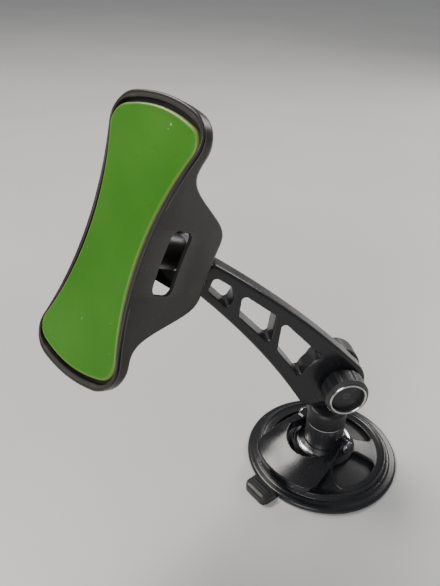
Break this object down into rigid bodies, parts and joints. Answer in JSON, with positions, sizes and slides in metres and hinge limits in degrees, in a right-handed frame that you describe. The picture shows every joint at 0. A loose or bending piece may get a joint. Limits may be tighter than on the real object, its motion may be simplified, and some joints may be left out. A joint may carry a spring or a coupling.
{
  "type": "phone mount",
  "caption": "Suction phone mount: lever-locked round base, swivelling neck, curved windowed arm and a ball-jointed hourglass head with a sticky pad.",
  "frame": {"origin": "centre of the suction face, on the surface it sticks to", "axes": "+Z out of the surface and up the neck, -X the way the arm leans, Y along the arm's pivot"},
  "size_m": [0.1619, 0.0902, 0.186],
  "materials": {
    "cup_rubber": "soft moulded, slightly shiny",
    "satin_black": "satin moulded",
    "gloss_black": "glossy moulded",
    "shell_black": "half-gloss moulded, fine texture",
    "steel": "plain machined",
    "bright_steel": "polished",
    "spring_steel": "drawn wire",
    "chrome_trim": "plated",
    "brass": "machined",
    "nylon": "moulded, waxy",
    "green_gel": "tacky gel, satin",
    "adhesive": "thin double-sided film"
  },
  "bodies": {
    "base": {"suction_cup": "cup_rubber", "stem_hub": "satin_black", "lever_pin": "steel", "pin_clips": "steel", "release_spring": "spring_steel", "swivel_pins": "steel", "swivel_washer": "nylon"},
    "cover": {"base_cover": "gloss_black", "cam_washer": "bright_steel"},
    "lever": {"lock_lever": "gloss_black"},
    "neck": {"neck_post": "satin_black", "pivot_bolt": "steel", "friction_washer": "nylon", "knob_washer": "steel"},
    "knob": {"pivot_knob": "satin_black", "knob_ring": "chrome_trim", "pivot_nut": "brass"},
    "arm": {"arm": "gloss_black", "stud_clip": "steel"},
    "stud": {"ball_stud": "bright_steel"},
    "socket": {"pressure_cup": "nylon", "retainer_ring": "satin_black"},
    "head": {"head_housing": "shell_black", "front_tray": "shell_black", "tray_screws": "steel", "sticky_pad": "green_gel", "pad_film": "adhesive", "pressure_block": "cup_rubber"}
  },
  "joints": [
    {"name": "lever_turn", "type": "hinge", "parent": "base", "child": "lever", "pos_m": [0, 0, 0.0169], "axis": [-0.4848, 0.8746, 0], "range_deg": [0, 45]},
    {"name": "cover_lift", "type": "slide", "parent": "base", "child": "cover", "axis": [0, 0, 1], "range_m": [0, 0.00045], "deforming": ["release_spring"]},
    {"name": "neck_swivel", "type": "hinge", "parent": "base", "child": "neck", "pos_m": [0, 0, 0.03], "axis": [0, 0, 1], "continuous": true},
    {"name": "arm_pivot", "type": "hinge", "parent": "neck", "child": "arm", "pos_m": [0, 0, 0.055], "axis": [0, 1, 0], "range_deg": [-35, 80]},
    {"name": "knob_turn", "type": "hinge", "parent": "neck", "child": "knob", "pos_m": [0, -0.015, 0.055], "axis": [0, -1, 0], "continuous": true},
    {"name": "stud_spin", "type": "hinge", "parent": "arm", "child": "stud", "pos_m": [-0.07, -0.0048, 0.1247], "axis": [-0.7431, 0, 0.6691], "continuous": true},
    {"name": "ball_tilt", "type": "hinge", "parent": "stud", "child": "socket", "pos_m": [-0.07, -0.0048, 0.1247], "axis": [-0.6588, 0.1753, -0.7316], "range_deg": [-2, 75]},
    {"name": "head_spin", "type": "hinge", "parent": "socket", "child": "head", "pos_m": [-0.07, -0.0048, 0.1247], "axis": [-0.6734, -0.5711, 0.4695], "continuous": true}
  ],
  "couplings": [
    {"joint": "cover_lift", "follows": "lever_turn", "m_per_rad": 0.00057}
  ]
}
